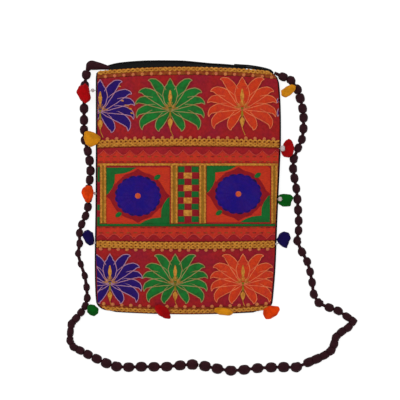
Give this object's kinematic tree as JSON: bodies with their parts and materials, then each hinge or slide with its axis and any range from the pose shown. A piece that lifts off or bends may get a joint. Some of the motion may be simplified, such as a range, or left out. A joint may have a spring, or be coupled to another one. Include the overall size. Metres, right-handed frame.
{
  "type": "embroidered crossbody bag",
  "caption": "Small flat zipped bag with an embroidered front and a long beaded cloth strap, lying on its back.",
  "frame": {"origin": "on the flat underside of the back panel, in the middle of the bag", "axes": "+Z out of the embroidered front, +Y towards the zip, +X to the right of the front"},
  "size_m": [0.2907, 0.3152, 0.0175],
  "materials": {
    "black_cloth": "plain black cotton, matt",
    "lotus_cloth": "red silky ribbon, embroidered with lotus flowers",
    "square_cloth": "orange and red silky ribbon, embroidered with squares and round flowers",
    "gold_braid": "gold thread braid with a looped edge",
    "embroidery": "satin stitch and couched cord in green, violet, blue and gold",
    "zip_tape": "black woven zip tape",
    "zip_coil": "black nylon coil",
    "zip_slider": "black enamel",
    "strap_cloth": "dark maroon cloth tube over beads",
    "felt_red": "felted wool",
    "felt_yellow": "felted wool",
    "felt_orange": "felted wool",
    "felt_navy": "felted wool",
    "felt_green": "felted wool",
    "seed_bead": "white seed bead"
  },
  "bodies": {
    "root": {"back_panel": "black_cloth", "front_panel": "black_cloth", "bottom_braid": "gold_braid", "lower_braid": "gold_braid", "upper_braid": "gold_braid", "top_braid": "gold_braid", "lower_lotus_band": "lotus_cloth", "upper_lotus_band": "lotus_cloth", "centre_band": "square_cloth", "zip_tape_front": "zip_tape", "zip_tape_back": "zip_tape", "zip_coil": "zip_coil", "zip_slider": "zip_slider", "strap_left": "strap_cloth", "strap_right": "strap_cloth", "bud_red_left": "felt_red", "bud_yellow_left": "felt_yellow", "bud_orange_left": "felt_orange", "bud_navy_left": "felt_navy", "bud_green_left": "felt_green", "bud_red_bottom": "felt_red", "bud_yellow_bottom": "felt_yellow", "bud_orange_right": "felt_orange", "bud_navy_right": "felt_navy", "bud_green_right": "felt_green", "bud_red_right": "felt_red", "bud_yellow_right": "felt_yellow"}
  },
  "joints": []
}
